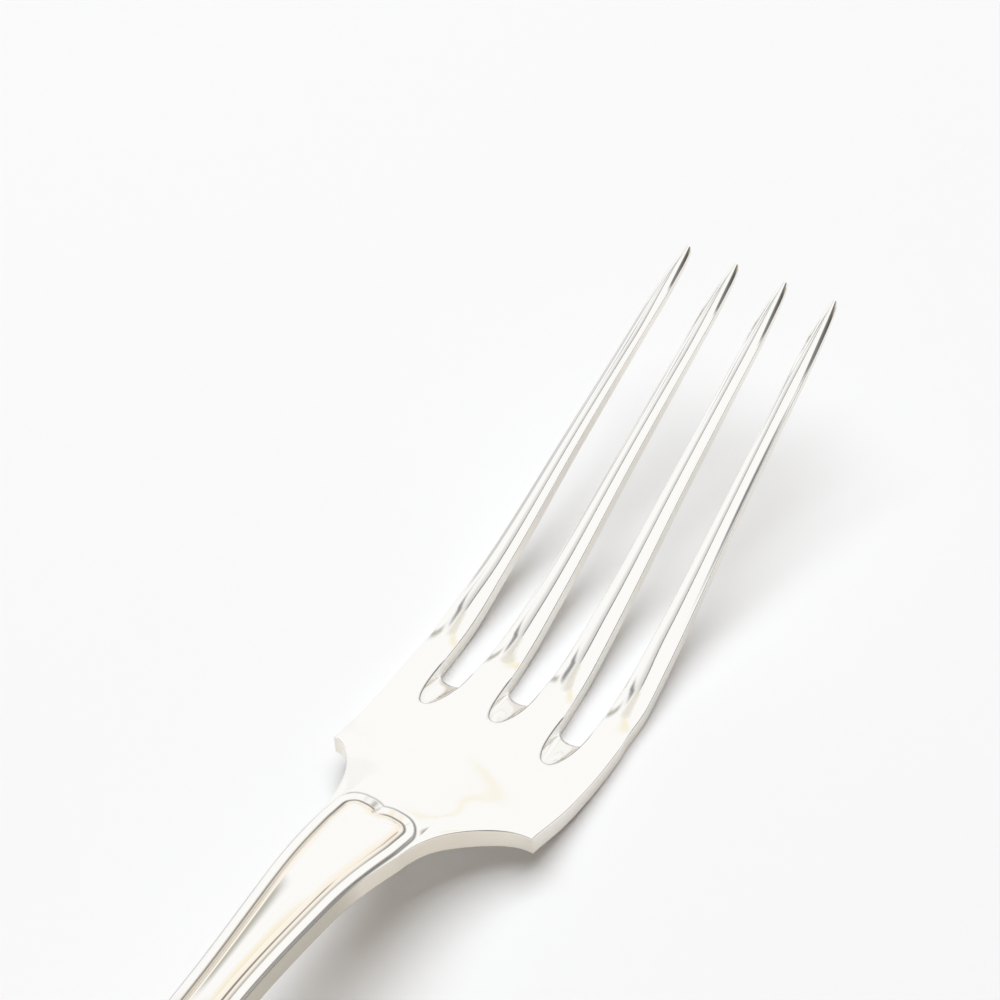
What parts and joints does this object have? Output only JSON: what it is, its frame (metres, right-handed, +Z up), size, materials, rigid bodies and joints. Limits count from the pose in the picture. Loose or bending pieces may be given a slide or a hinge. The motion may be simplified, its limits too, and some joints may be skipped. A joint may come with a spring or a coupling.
{
  "type": "dinner fork",
  "caption": "Dinner fork in polished silver with slender tapering tines, square shoulders, an arched stem and a fiddle-shaped handle with a raised thread border.",
  "frame": {"origin": "on the table, under the middle of the fork's length and width", "axes": "+Y along the fork toward the points, +X across it to the right as seen from above with the points away, +Z up"},
  "size_m": [0.0264, 0.204, 0.0222],
  "materials": {
    "silver": "polished, lightly worn"
  },
  "bodies": {
    "root": {"handle": "silver", "stem": "silver", "head": "silver", "tine_1": "silver", "tine_2": "silver", "tine_3": "silver", "tine_4": "silver"}
  },
  "joints": []
}
